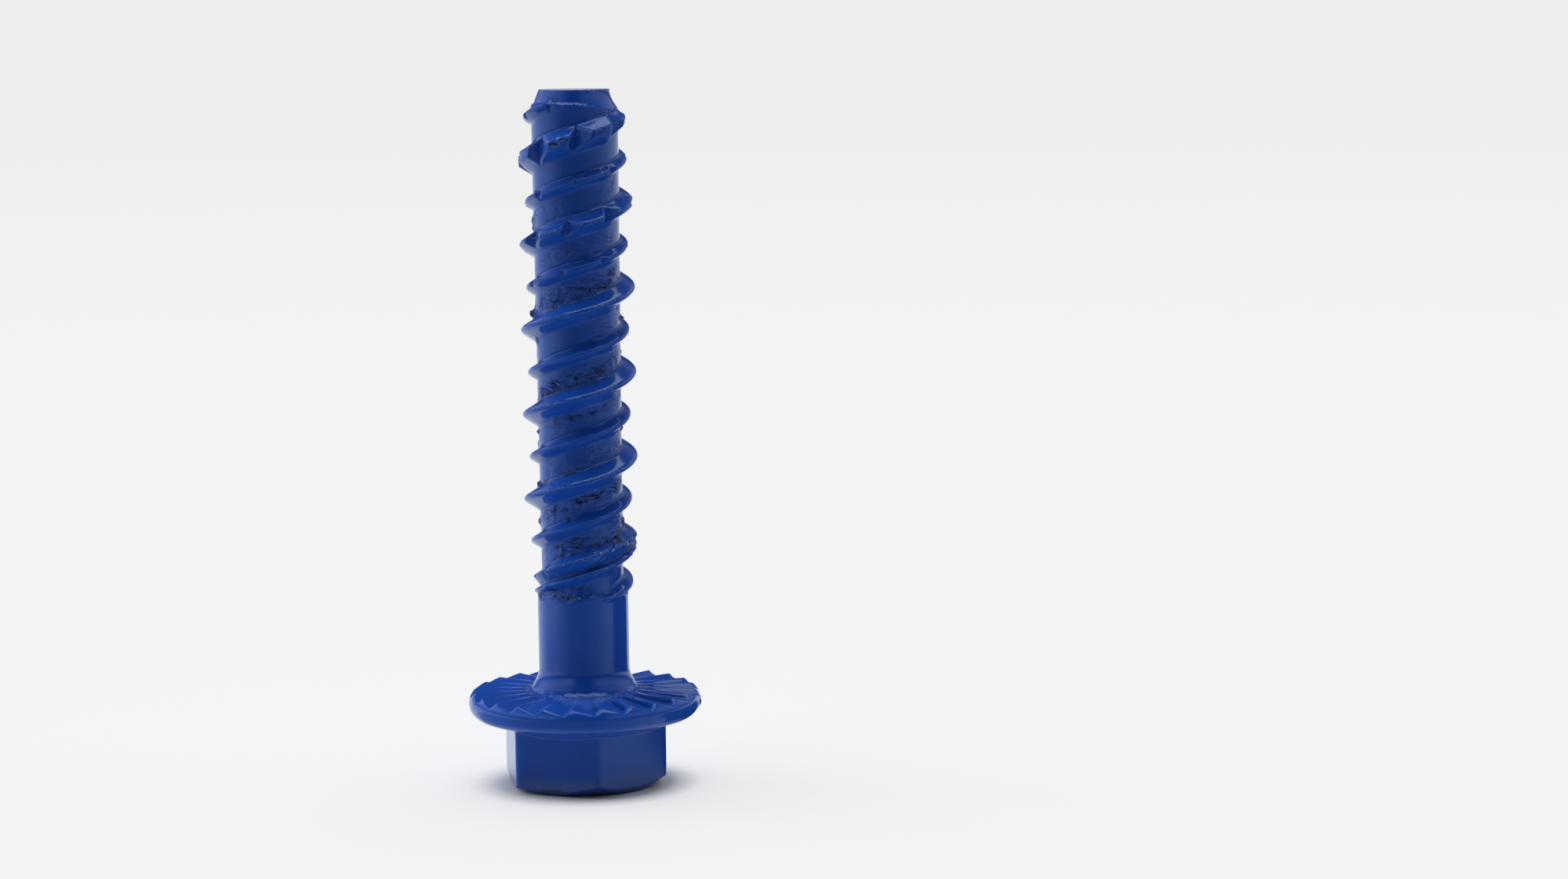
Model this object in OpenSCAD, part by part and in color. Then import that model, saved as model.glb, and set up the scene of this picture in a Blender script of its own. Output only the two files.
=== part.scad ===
// Concrete screw with a hex flange head, standing on its head with the tip up.
// One forged and rolled piece: hex, dished end face, serrated flange, flared shank,
// and a tapered core that carries a high thread and a low thread half a turn apart.

/* [Head] */
// Width of the hex across its flats
across_flats = 13; // [10:0.5:16]
// Height of the head, from its end face to the serrated bearing face
head_h = 8.25; // [7:0.05:11]
// Diameter of the flange
flange_d = 20; // [18:0.5:26]
// Thickness of the flange at its rim
rim_h = 2.2; // [1.6:0.1:3]
// Radius of the rounded rim, seen in section
rim_round = 1.3; // [1.2:0.1:2]
// Slope of the flange's back towards the hex, in degrees
back_slope = 18; // [5:1:25]
// Distance from a flat of the hex in to the chamfer's inner edge
chamfer_w = 0.4; // [0.1:0.05:0.8]
// Slope of the chamfer round the end of the hex, in degrees
chamfer_slope = 38; // [25:1:50]

/* [Dish] */
// Width of the flat ring that the head stands on, round the dish
ring_w = 0.5; // [0.3:0.05:1.5]
// Width of the dish's sloping bank
bank_w = 0.85; // [0.3:0.05:2]
// Depth of the dish
dish_depth = 0.5; // [0.2:0.05:1.5]

/* [Serrations] */
// Number of ratchet teeth round the bearing face
tooth_count = 24; // [16:2:36]
// Depth of a tooth at the rim
tooth_depth = 0.55; // [0.2:0.05:0.8]
// Share of a tooth that its steep side takes up
tooth_steep = 0.16; // [0.1:0.02:0.4]

/* [Shank] */
// Diameter of the plain shank
shank_d = 7.8; // [7.5:0.05:8.2]
// Length of the plain shank, from the bearing face to the foot of the threads
shank_l = 8.65; // [4:0.05:20]
// Height of the flare that joins the shank to the flange
flare_h = 2; // [1.2:0.1:3]
// Width of the flare on the bearing face
flare_w = 1; // [0.6:0.05:1.2]
// Height of the bevel where the shank steps down to the core
step_bevel = 0.35; // [0.1:0.05:1]

/* [Core and tip] */
// Length of the screw under its head
under_head_l = 51.5; // [35:0.05:90]
// Core diameter beside the tip
core_tip_d = 7.4; // [7:0.05:7.8]
// Core diameter beside the shank
core_shank_d = 6.95; // [6.6:0.05:7.4]
// Diameter of the flat end of the tip
tip_d = 6; // [3:0.05:6.6]
// Height of the cone between the core and the flat end
tip_h = 1.55; // [0.8:0.05:3]

/* [Threads] */
// Rise of each thread in one turn
lead = 7.25; // [6.4:0.05:9]
// Outside diameter of the high thread
high_d = 9.8; // [9.2:0.05:10.6]
// Width of the high thread's crest
high_crest_w = 0.6; // [0.3:0.05:0.8]
// Outside diameter of the low thread
low_d = 8.7; // [8.2:0.05:9]
// Width of the low thread's crest
low_crest_w = 0.35; // [0.2:0.05:0.6]
// Slope of the thread flanks from square to the axis, in degrees
flank_slope = 31; // [20:1:36]
// Distance from the end of the tip to the start of both threads
thread_start = 1.15; // [1:0.05:4]
// Direction in which the high thread starts, in degrees from +X; the low one starts opposite
start_turn = 79.5; // [0:0.5:360]

/* [Cutting notches] */
// Depth of the notches in the high thread, beside the tip
notch_depth = 1; // [0.3:0.05:1.1]
// Angle between notches, in degrees
notch_pitch = 47; // [36:1:60]
// Angle that a notch's long slope takes up, in degrees
notch_slope = 14; // [8:1:18]
// Angle that a notch's steep side takes up, in degrees
notch_steep = 4; // [3:1:8]
// Length of thread that has notches, in degrees
notched = 800; // [200:10:1000]

/* [Hidden] */
coat = "#24459c";
$fn = 96;

// Radii and heights that follow from the sizes above
flange_r = flange_d / 2;
shank_r = shank_d / 2;
total_l = head_h + under_head_l;
rim_bottom = head_h - rim_h;
step_z = head_h + shank_l;
cone_z = total_l - tip_h;
flare_r = (flare_h * flare_h + flare_w * flare_w) / (2 * flare_w);
flat_r = across_flats / 2;
corner_r = flat_r / cos(30);
end_ring_r = flat_r - chamfer_w;
dish_r = end_ring_r - ring_w;
rim_edge_r = flange_r - rim_round + sqrt(rim_round * rim_round - rim_h * rim_h / 4);
back_drop = (rim_edge_r - flat_r) * tan(back_slope);

// Threads: each is swept through rings of a five-point section.
// The rings of one notch pitch: the notch, its steep side, the middle, the foot of its slope.
slope_turn = notch_pitch - notch_slope;
pitch_rings = [0, notch_steep, (notch_steep + slope_turn) / 2, slope_turn];
root_sink = 0.45;
root_r = core_shank_d / 2 - root_sink;
hidden_r = root_r + 0.1;
run_in = 100;
run_in_low = 50;
run_out = 320;
run_out_low = 60;
overrun = 20;
overrun_low = 40;
fade_power = 0.35;
start_w = 0.4;
notch_fade = 0.6;
lip_groove = 0.3;
start_z = total_l - thread_start;
full_travel = (start_z - step_z) / lead * 360;

// Serration cutter: it rises just clear of the bearing face at its inner edge
cut_inner_r = shank_r + 0.5 * flare_w;
cut_lift = 0.12;
cut_crest = 0.03;
cut_outer_r = flange_r + 1;
cut_top = head_h + 1;

// A point at a radius, a direction and a height
function polar(r, turn, z) = [r * cos(turn), r * sin(turn), z];

// How far round the thread ring i lies
function ring_turn(i) = notch_pitch * floor(i / 4) + pitch_rings[i % 4];

// Share of the full thread height at a distance round the thread
function thread_share(turn, travel, fade_in, fade_out) =
    pow(max(0, min(1, turn / fade_in, (travel - turn) / fade_out)), fade_power);

// Share of the notch depth left: notches get shallower away from the tip
function notch_share(i, turn) =
    (i > 0 && i % 4 == 0 && turn < notched) ? 1 - notch_fade * turn / notched : 0;

// Share of the full thread width, which grows as the thread starts
function width_share(turn, fade_in) = min(1, start_w + (1 - start_w) * turn / fade_in);

// Half width of a thread at radius r
function half_w(r, top_r, crest_w) = crest_w / 2 + (top_r - r) * tan(flank_slope);

// One ring of a thread: root, crest edge, crest middle, crest edge, root
function ring(turn, z, crest_r, groove, top_r, crest_w, share) =
    let (
        wide = share * half_w(root_r, top_r, crest_w),
        edge = share * half_w(crest_r, top_r, crest_w)
    )
    [
        polar(root_r, turn, z - wide),
        polar(crest_r, turn, z - edge),
        polar(crest_r - groove, turn, z),
        polar(crest_r, turn, z + edge),
        polar(root_r, turn, z + wide)
    ];

// A closed skin over rings of n points each
function skin(rings, n) = concat(
    [[for (j = [0 : n - 1]) j]],
    [
        for (i = [0 : rings - 2], j = [0 : n - 1])
            let (
                k = (j + 1) % n,
                a = i * n
            )
            each [
                [a + j, a + n + j, a + n + k],
                [a + j, a + n + k, a + k]
            ]
    ],
    [[for (j = [n - 1 : -1 : 0]) (rings - 1) * n + j]]
);

// A thread that winds down from its start, right-handed
module thread(top_r, crest_w, turn_0, travel, fade_in, fade_out, notch, groove) {
    count = floor(4 * travel / notch_pitch);
    points = [
        for (i = [0 : count])
            let (
                turn = ring_turn(i),
                share = thread_share(turn, travel, fade_in, fade_out),
                crest_r = hidden_r + (top_r - hidden_r) * share,
                cut = notch * notch_share(i, turn),
                split = turn > travel - fade_out ? groove * 4 * share * (1 - share) : 0
            )
            each ring(
                turn_0 - turn,
                start_z - lead * turn / 360,
                max(hidden_r, min(crest_r, top_r - cut)),
                min(split, crest_r - hidden_r),
                top_r,
                crest_w,
                width_share(turn, fade_in)
            )
    ];
    polyhedron(points, skin(count + 1, 5), convexity = 12);
}

module high_thread() {
    thread(
        high_d / 2, high_crest_w, start_turn,
        full_travel + overrun, run_in, run_out, notch_depth, lip_groove
    );
}

module low_thread() {
    notch = notch_depth * (low_d - core_tip_d) / (high_d - core_tip_d);
    thread(
        low_d / 2, low_crest_w, start_turn + 180,
        full_travel + overrun_low, run_in_low, run_out_low, notch, 0
    );
}

// Half section of everything that is round about the axis
module turned_section() {
    // Core, tip and the plain part of the shank
    polygon([
        [0, head_h + flare_h],
        [shank_r, head_h + flare_h],
        [shank_r, step_z - step_bevel],
        [core_shank_d / 2, step_z],
        [core_tip_d / 2, cone_z],
        [tip_d / 2, total_l],
        [0, total_l]
    ]);
    // Flare between the shank and the bearing face
    difference() {
        translate([0, head_h - rim_h / 2])
            square([shank_r + flare_w, rim_h / 2 + flare_h]);
        translate([shank_r + flare_r, head_h + flare_h])
            circle(flare_r);
    }
    // Flange with its rounded rim
    translate([0, rim_bottom])
        square([flange_r - rim_round, rim_h]);
    intersection() {
        translate([flange_r - rim_round, rim_bottom + rim_h / 2])
            circle(rim_round);
        translate([0, rim_bottom])
            square([flange_r, rim_h]);
    }
    // Back of the flange, sloping to the hex
    polygon([
        [0, rim_bottom - back_drop],
        [flat_r, rim_bottom - back_drop],
        [rim_edge_r, rim_bottom],
        [0, rim_bottom]
    ]);
}

// Hex with its end chamfered by a cone
module hex() {
    intersection() {
        cylinder(h = rim_bottom, r = corner_r, $fn = 6);
        cylinder(h = rim_bottom, r1 = end_ring_r, r2 = end_ring_r + rim_bottom / tan(chamfer_slope));
    }
}

// Everything above the ratchet teeth: a steep rise, then a long fall, round and round
module serration_cut() {
    pitch = 360 / tooth_count;
    points = [
        for (i = [0 : tooth_count - 1], low = [0, 1])
            let (
                turn = pitch * (i + low * (1 - tooth_steep)),
                drop = low == 1 ? tooth_depth : cut_crest
            )
            each [
                polar(cut_inner_r, turn, head_h + cut_lift),
                polar(cut_outer_r, turn, head_h - drop),
                polar(cut_outer_r, turn, cut_top),
                polar(cut_inner_r, turn, cut_top)
            ]
    ];
    sides = 2 * tooth_count;
    faces = [
        for (i = [0 : sides - 1], j = [0 : 3])
            let (
                a = 4 * i,
                b = 4 * ((i + 1) % sides),
                k = (j + 1) % 4
            )
            each [
                [a + j, b + k, b + j],
                [a + j, a + k, b + k]
            ]
    ];
    polyhedron(points, faces, convexity = 10);
}

module dish() {
    cylinder(h = dish_depth, r1 = dish_r, r2 = dish_r - bank_w);
}

module concrete_screw() {
    color(coat)
    union() {
        difference() {
            union() {
                rotate_extrude() turned_section();
                hex();
            }
            serration_cut();
            dish();
        }
        high_thread();
        low_thread();
    }
}

concrete_screw();
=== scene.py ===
"""Concrete screw with a hex flange head, standing on its head: a blue-coated steel piece and its studio."""

import math

import bpy
import numpy as np
from bpy.props import FloatProperty, FloatVectorProperty, IntProperty, PointerProperty, StringProperty
from mathutils import Matrix, Vector, noise


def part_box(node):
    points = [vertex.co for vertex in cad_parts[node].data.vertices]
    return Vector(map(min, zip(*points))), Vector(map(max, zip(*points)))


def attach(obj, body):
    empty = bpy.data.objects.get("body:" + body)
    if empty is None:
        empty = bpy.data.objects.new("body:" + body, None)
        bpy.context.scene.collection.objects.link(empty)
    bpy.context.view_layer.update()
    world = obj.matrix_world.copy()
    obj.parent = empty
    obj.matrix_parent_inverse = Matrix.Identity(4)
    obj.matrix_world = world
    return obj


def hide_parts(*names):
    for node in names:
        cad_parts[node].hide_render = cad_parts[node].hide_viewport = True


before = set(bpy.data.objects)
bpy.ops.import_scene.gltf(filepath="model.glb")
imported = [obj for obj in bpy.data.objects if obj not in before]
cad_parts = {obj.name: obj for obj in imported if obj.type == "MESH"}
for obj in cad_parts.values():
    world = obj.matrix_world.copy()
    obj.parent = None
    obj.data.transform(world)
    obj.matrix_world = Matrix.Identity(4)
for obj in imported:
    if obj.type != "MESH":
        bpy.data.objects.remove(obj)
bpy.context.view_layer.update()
NODE = "concrete_screw"
BODY = "root"
MM = 0.001

bl_info = {
    "name": "Concrete screw",
    "version": (1, 0, 0),
    "blender": (4, 5, 0),
    "location": "3D View > Sidebar > Screw",
    "description": "Models a coated concrete screw with a serrated hex flange head",
    "category": "Add Mesh",
}


# Sizes and colours that a user would change

def length(name, description, mm):
    return FloatProperty(name=name, description=description, default=mm * MM, unit="LENGTH", precision=5)


def angle(name, description, degrees):
    return FloatProperty(name=name, description=description, default=math.radians(degrees), subtype="ANGLE")


def share(name, description, value):
    return FloatProperty(name=name, description=description, default=value, subtype="FACTOR", min=0, max=1)


def brightness(name, description, value):
    return FloatProperty(name=name, description=description + "; 1 is white", default=value)


def colour(name, description, code):
    return StringProperty(name=name, description=description + ", as an sRGB hex value", default=code)


class HeadSizes(bpy.types.PropertyGroup):
    """Hex, flange and dish"""
    across_flats: length("Across flats", "Width of the hex across its flats", 13)
    corner_round: length("Corner round", "How far the hex's corners are rounded off", 0.3)
    height: length("Head height", "From the end face to the bearing face", 8.25)
    rim_height: length("Rim height", "Thickness of the flange at its rim", 2.2)
    rim_round: length("Rim round", "Radius of the rounded rim, seen in section", 1.3)
    back_slope: angle("Back slope", "Slope of the flange's back towards the hex", 18)
    chamfer_width: length("Chamfer width", "From a flat of the hex in to the chamfer's inner edge", 0.4)
    chamfer_slope: angle("Chamfer slope", "Slope of the chamfer round the end of the hex", 38)
    ring_width: length("End ring width", "Flat ring round the dish, which the head stands on", 0.5)
    bank_width: length("Bank width", "Width of the dish's sloping bank", 0.85)
    dish_depth: length("Dish depth", "Depth of the dish in the end face", 0.5)
    tooth_count: IntProperty(name="Teeth", description="Ratchet teeth round the bearing face",
                             default=24, min=8)
    tooth_depth: length("Tooth depth", "Depth of a tooth at the rim", 0.62)
    tooth_steep: share("Steep share", "Share of a tooth that its steep side takes up", 0.15)


class ShankSizes(bpy.types.PropertyGroup):
    """Plain shank and its flare"""
    width: length("Shank width", "Diameter of the plain shank", 7.8)
    step_height: length("Step height", "Height of the step from the shank to the core", 16.9)
    flare_height: length("Flare height", "Height of the flare on the bearing face", 2)
    flare_width: length("Flare width", "Width of the flare on the bearing face", 1)


class ThreadSizes(bpy.types.PropertyGroup):
    """Core, tip and the two threads"""
    lead: length("Lead", "Rise of each thread in one turn", 7.25)
    high_width: length("High thread", "Outside diameter of the high thread", 9.8)
    low_width: length("Low thread", "Outside diameter of the low thread", 8.7)
    core_tip_width: length("Core at tip", "Core diameter beside the tip", 7.4)
    core_shank_width: length("Core at shank", "Core diameter beside the shank", 6.95)
    tip_width: length("Tip width", "Diameter of the flat end of the tip", 6)
    tip_height: length("Tip height", "Height of the cone between the core and the flat end", 1.55)
    cone_width: length("Cone foot", "Diameter of the tip's cone at its foot", 7.24)
    start_below: length("Thread start", "From the end of the tip to the start of both threads", 1.15)
    start_turn: angle("Start turn", "Direction in which the high thread starts", 79.5)
    flank_slope: angle("Flank slope", "Slope of the thread flanks from square to the axis", 31)
    notch_pitch: angle("Notch pitch", "Angle between cutting notches of the high thread", 46.3)
    notch_depth: length("Notch depth", "Depth of the high thread's notches beside the tip", 1.2)
    notch_end: angle("Notched", "Length of thread that has notches", 770)


class CoatLook(bpy.types.PropertyGroup):
    """Blue coating and its wear"""
    blue: colour("Blue", "Colour of the coating", "#1546a4")
    thin: colour("Thin blue", "Colour where the coating is thin", "#1a50b2")
    # The grime colour also paints shade: in the teeth, low on the hex and in the run-out's valley
    grime_and_shade: colour("Grime", "Colour of dirt and bare scale in cracks and on burrs", "#070b16")
    # The dust colour also paints highlights: on the crests, the tip's edge, the ledge and the flare's foot
    dust_and_highlight: colour("Dust", "Colour of pale dust in the corners", "#b9c8e4")
    sheen: colour("Sheen", "Tint of what the coating reflects", "#e4f8ff")
    gloss: share("Roughness", "Roughness of the sound coating", 0.13)
    worn_gloss: share("Worn roughness", "Roughness of the coating where it is broken up", 0.6)


class StageLook(bpy.types.PropertyGroup):
    """Camera, floor and lamps"""
    floor: colour("Floor", "Colour of the floor further off", "#f4f4f5")
    # The paper's faint blue is painted: it stands in for blue light thrown by the screw into its shadow
    paper: colour("Paper", "Colour of the paper under the screw", "#d9dbdf")
    table: colour("Table", "Colour of the table round the white sheet", "#606060")
    backdrop: colour("Backdrop", "Colour behind the floor", "#eeeeee")
    key_level: brightness("Key softbox", "Brightness of the softbox overhead", 1.9)
    left_level: brightness("Left softbox", "Brightness of the softbox on the left", 5.5)
    fill_level: brightness("Fill", "Brightness of the room behind and beside the screw", 1.1)
    front_level: brightness("Front fill", "Brightness of the room on the camera's side", 0.12)
    lens: FloatProperty(name="Lens", description="Focal length", default=81.04, unit="CAMERA")
    camera: FloatVectorProperty(name="Camera", description="Place of the camera", subtype="TRANSLATION",
                                default=(115.3 * MM, -277.7 * MM, 66.57 * MM))
    yaw: angle("Yaw", "Direction that the camera looks in, from +Y towards +X", -19.22)
    pitch: angle("Pitch", "How far the camera looks down", 7.01)
    roll: angle("Roll", "How far the camera leans", -0.62)


# Small tools for shapes

def smooth_min(a, b, k):
    """The lesser of a and b, with the corner between them rounded over a band k."""
    h = np.maximum(k - np.abs(a - b), 0) / k
    return np.minimum(a, b) - h * h * k / 4


def smooth_max(a, b, k):
    """The greater of a and b, with the corner between them rounded over a band k."""
    return -smooth_min(-a, -b, k)


def ramp(x, low, high):
    """0 below low, 1 above high, with a smooth rise between."""
    t = np.clip((x - low) / (high - low), 0, 1)
    return t * t * (3 - 2 * t)


def band(x, width):
    """1 where x is 0, falling to nearly nothing within two widths on either side."""
    return np.exp(-(x / width) ** 2)


def turned_from(turn, centre):
    """How far a turn lies from a centre, from -180 to 180 degrees."""
    return np.mod(turn - centre + 180, 360) - 180


def facing(turn, centre):
    """1 for turns at a centre, falling to 0 at a quarter turn away and staying there."""
    return np.clip(np.cos(np.radians(turn - centre)), 0, 1)


def arc(centre, radius, start, end, steps):
    """Points on an arc, in degrees, both ends included."""
    turns = np.radians(np.linspace(start, end, steps + 1))
    return [(centre[0] + radius * math.cos(t), centre[1] + radius * math.sin(t)) for t in turns]


def rough(points, size, seed):
    """Smooth noise from -1 to 1 at each point, with lumps of about that size."""
    shift = Vector((seed * 7.3, seed * 3.1, seed * 5.7))
    return np.array([noise.noise(Vector(p) / size + shift) for p in points])


# Small tools for meshes

WELD = 0.002 * MM
SAME_HEIGHT = 0.001 * MM
CUT_EDGE = 0.0005 * MM


def draw_line(name, points):
    """An edge line through (radius, height) points, drawn by extruding one vertex."""
    bpy.ops.object.select_all(action="DESELECT")
    bpy.ops.mesh.primitive_plane_add(size=MM)
    line = bpy.context.object
    line.name = name
    bpy.ops.object.mode_set(mode="EDIT")
    bpy.ops.mesh.merge(type="CENTER")
    path = [Vector((r, 0, z)) for r, z in points]
    bpy.ops.transform.translate(value=path[0])
    for a, b in zip(path, path[1:]):
        bpy.ops.mesh.extrude_region_move(TRANSFORM_OT_translate={"value": b - a})
    bpy.ops.object.mode_set(mode="OBJECT")
    return line


def sweep(line, steps, turns=1, rise=0):
    """Turns a line about the axis, with a rise for each turn."""
    screw = line.modifiers.new("Sweep", "SCREW")
    screw.steps = screw.render_steps = steps
    screw.iterations = turns
    screw.screw_offset = rise
    screw.use_merge_vertices = False
    bpy.ops.object.modifier_apply(modifier=screw.name)
    bpy.ops.object.mode_set(mode="EDIT")
    bpy.ops.mesh.select_all(action="SELECT")
    bpy.ops.mesh.remove_doubles(threshold=WELD)
    bpy.ops.object.mode_set(mode="OBJECT")
    return line


def trim(height, above):
    """Cuts the active piece off level, above or below a height."""
    bpy.ops.object.mode_set(mode="EDIT")
    bpy.ops.mesh.select_all(action="SELECT")
    bpy.ops.mesh.bisect(plane_co=(0, 0, height), plane_no=(0, 0, 1), clear_outer=above,
                        clear_inner=not above, threshold=CUT_EDGE)
    bpy.ops.object.mode_set(mode="OBJECT")


def bridge(piece, low, high):
    """Joins the open rings at two heights."""
    bpy.ops.object.mode_set(mode="EDIT")
    bpy.ops.mesh.select_mode(type="VERT")
    bpy.ops.mesh.select_all(action="DESELECT")
    bpy.ops.object.mode_set(mode="OBJECT")
    for v in piece.data.vertices:
        v.select = min(abs(v.co.z - low), abs(v.co.z - high)) < SAME_HEIGHT
    bpy.ops.object.mode_set(mode="EDIT")
    bpy.ops.mesh.bridge_edge_loops()
    bpy.ops.object.mode_set(mode="OBJECT")


def face_outwards():
    """Turns the active piece's normals out and shades it smooth."""
    bpy.ops.object.mode_set(mode="EDIT")
    bpy.ops.mesh.select_all(action="SELECT")
    bpy.ops.mesh.normals_make_consistent(inside=False)
    bpy.ops.object.mode_set(mode="OBJECT")
    bpy.ops.object.shade_smooth()


# The screw's outlines, in metres. The sheet that takes the threads is swept along the lead, and is joined to
# the head below and to the tip above.

COLUMNS = 240
SHEET_TURNS = 9
TURNS_DOWN = 7
JOIN_LOW = 15.3 * MM
SHEET_LOW = 15.5 * MM
SHEET_HIGH = 59.187 * MM
JOIN_HIGH = 59.3 * MM
TIP_ROUND = 0.12 * MM
RING_ROUND = 0.05 * MM
BANK_ROUND = 0.1 * MM

# Distances of the sheet's rows from a crest, in mm, and the number of rows between the two threads
HIGH_ROWS = [0, 0.1, 0.2, 0.3, 0.42, 0.56, 0.7, 0.84, 0.98, 1.12, 1.3]
LOW_ROWS = [0, 0.1, 0.18, 0.26, 0.38, 0.5, 0.62, 0.76]
ROWS_OVER, ROWS_UNDER = 9, 5

# Shares of the way along the flange's back, the hex's side and its chamfer at which rows lie
BACK_ROWS = (0.15, 0.35, 0.6, 0.8, 0.9, 0.96, 1)
SIDE_ROWS = (0.02, 0.05, 0.1, 0.2, 0.35, 0.55, 0.75, 0.9, 0.97)
CHAMFER_ROWS = (0, 0.04, 0.15, 0.4, 0.7, 0.92, 1)


def thread_rows(lead):
    """Heights of the sheet's rows over one lead, from a high crest to the next, close on the threads."""
    high = np.array(HIGH_ROWS) * MM
    low = np.array(LOW_ROWS) * MM
    half = lead / 2
    over = np.linspace(high[-1], half - low[-1], ROWS_OVER + 2)[1:-1]
    under = np.linspace(half + low[-1], lead - high[-1], ROWS_UNDER + 2)[1:-1]
    return np.concatenate([high, over, half - low[::-1], half + low[1:], under, lead - high[::-1]])


def rim_edge(head, flange_r):
    """Radius at which the rim's arc meets the flange's faces."""
    reach = math.sqrt(head.rim_round ** 2 - head.rim_height ** 2 / 4)
    return flange_r - head.rim_round + reach


def between(first, last, shares):
    """Points at shares of the way from a first to a last (radius, height) point."""
    return [(first[0] + (last[0] - first[0]) * t, first[1] + (last[1] - first[1]) * t) for t in shares]


def head_section(head, shank, flange_r):
    """Half section from the shank down over the flange and hex to the middle of the dish."""
    shank_r = shank.width / 2
    top = head.height
    flare_top = top + shank.flare_height
    flat_r = head.across_flats / 2
    corner_r = flat_r / math.cos(math.radians(30))
    end_r = flat_r - head.chamfer_width
    dish_r = end_r - head.ring_width
    floor_r = dish_r - head.bank_width
    edge_r = rim_edge(head, flange_r)
    flare_r = (shank.flare_height ** 2 + shank.flare_width ** 2) / (2 * shank.flare_width)
    flare_end = math.degrees(math.asin(shank.flare_height / flare_r))
    rim_mid = top - head.rim_height / 2
    rim_turn = math.degrees(math.asin(head.rim_height / 2 / head.rim_round))
    rim_low = top - head.rim_height
    back_low = rim_low - (edge_r - corner_r) * math.tan(head.back_slope)
    chamfer_z = (corner_r - end_r) * math.tan(head.chamfer_slope)
    points = [(shank_r, z) for z in np.linspace(JOIN_LOW, flare_top, 5)[:-1]]
    points += arc((shank_r + flare_r, flare_top), flare_r, 180, 180 + flare_end, 9)
    points += [(r, top) for r in np.linspace(shank_r + shank.flare_width, edge_r, 14)[1:-1]]
    points += arc((flange_r - head.rim_round, rim_mid), head.rim_round, rim_turn, -rim_turn, 14)
    points += between((edge_r, rim_low), (corner_r, back_low), BACK_ROWS)
    points += between((corner_r, back_low), (corner_r, chamfer_z), SIDE_ROWS)
    points += between((corner_r, chamfer_z), (end_r, 0), CHAMFER_ROWS)
    points += [(end_r - RING_ROUND, 0), (dish_r + RING_ROUND, 0), (dish_r, 0)]
    points += between((dish_r, 0), (floor_r, head.dish_depth), (0.1, 0.5, 0.9, 1))
    points += [(r, head.dish_depth) for r in (floor_r - BANK_ROUND, 3 * MM, 1.5 * MM, 0)]
    return points


def tip_section(thread, top):
    """Half section of the tip, from the cone to the middle of its flat end."""
    tip_r = thread.tip_width / 2
    slope = (thread.cone_width / 2 - tip_r) / thread.tip_height
    lean = math.degrees(math.atan(slope))
    low = top - TIP_ROUND
    points = [(tip_r + slope * (top - z), z) for z in np.linspace(JOIN_HIGH, low, 4)]
    points += arc((tip_r + slope * TIP_ROUND - TIP_ROUND, low), TIP_ROUND, lean, 90, 6)[1:]
    points += [(tip_r * t, top) for t in (0.93, 0.6, 0.3, 0)]
    return points


# Shaping the swept blank. From here on lengths are in millimetres and angles in degrees.

MARKS_ON_COAT = ("grit", "grime_and_shade", "dust_and_highlight")

# Points nearer the axis than this lie on the flat ends, which take no marks
FLAT_END = 2.9


class Blank:
    """The blank's points as arrays: turn, radius and height, and marks on the coating."""

    def __init__(self, piece):
        self.mesh = piece.data
        self.count = len(self.mesh.vertices)
        places = np.zeros(self.count * 3)
        self.mesh.vertices.foreach_get("co", places)
        self.xyz = places.reshape(-1, 3) / MM
        self.turn = np.degrees(np.arctan2(self.xyz[:, 1], self.xyz[:, 0]))
        self.r = np.hypot(self.xyz[:, 0], self.xyz[:, 1])
        self.z = self.xyz[:, 2].copy()
        self.marks = {name: np.zeros(self.count) for name in MARKS_ON_COAT}

    def write(self):
        """Puts the shaped points and the marks back into the mesh."""
        t = np.radians(self.turn)
        places = np.stack([self.r * np.cos(t), self.r * np.sin(t), self.z], 1) * MM
        self.mesh.vertices.foreach_set("co", places.ravel())
        self.mesh.update()
        for name, values in self.marks.items():
            layer = self.mesh.attributes.new(name, "FLOAT", "POINT")
            layer.data.foreach_set("value", np.clip(values, 0, 1))


def along(blank, thread, top, turn_0):
    """For each point: how far round a thread it lies, and its height over the thread's crest line."""
    lead = thread.lead / MM
    drop = (top - thread.start_below) / MM - blank.z
    behind = drop / lead * 360
    first = turn_0 - blank.turn
    travel = first + 360 * np.round((behind - first) / 360)
    return travel, lead / 360 * (travel - behind)


def thread_section(offset, low, high, valley, dip, height, slope, crest_round, root_round):
    """Height of a thread over the core: flanks outside its two edges, and a dip between where it is split."""
    flank = height + np.minimum(offset - low, high - offset) / slope
    inner = height - dip * np.minimum((high - offset) / (high - valley), (offset - low) / (valley - low))
    return smooth_max(smooth_min(inner, flank, crest_round), 0 * flank, root_round)


# Share of a notch's depth that is lost by the last notch
NOTCH_FADE = 0.3


def notch_cut(place, pitch, last, depth, slope_turn, steep_turn):
    """Depth of the cutting notches at places round a thread: a long slope, then a steep side."""
    middle = place + (slope_turn - steep_turn) / 2
    number = np.clip(np.round(middle / pitch), 1, np.floor(last / pitch))
    past = place - number * pitch
    fall = np.clip(np.where(past < 0, 1 + past / slope_turn, 1 - past / steep_turn), 0, 1)
    return depth * (1 - NOTCH_FADE * number * pitch / last) * fall


# Rough patches, in the high thread's own frame: place round the thread, height over its crest line, reach
# round and up, strength
PATCHES = [
    (867, 1.7, 80, 0.75, 0.9),
    (507, -2.0, 60, 0.6, 0.5),
    (1236, 1.6, 70, 0.7, 1),
    (1224, -1.6, 50, 0.45, 0.8),
    (1580, -1.8, 75, 0.6, 1),
    (1590, 1.4, 70, 0.35, 0.5),
    (1967, 2.0, 26, 0.7, 1),
    (1903, 1.1, 16, 0.35, 1),
    (1867, 0.5, 12, 0.5, 0.8),
    (2027, 0.6, 14, 0.4, 1),
]

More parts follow.
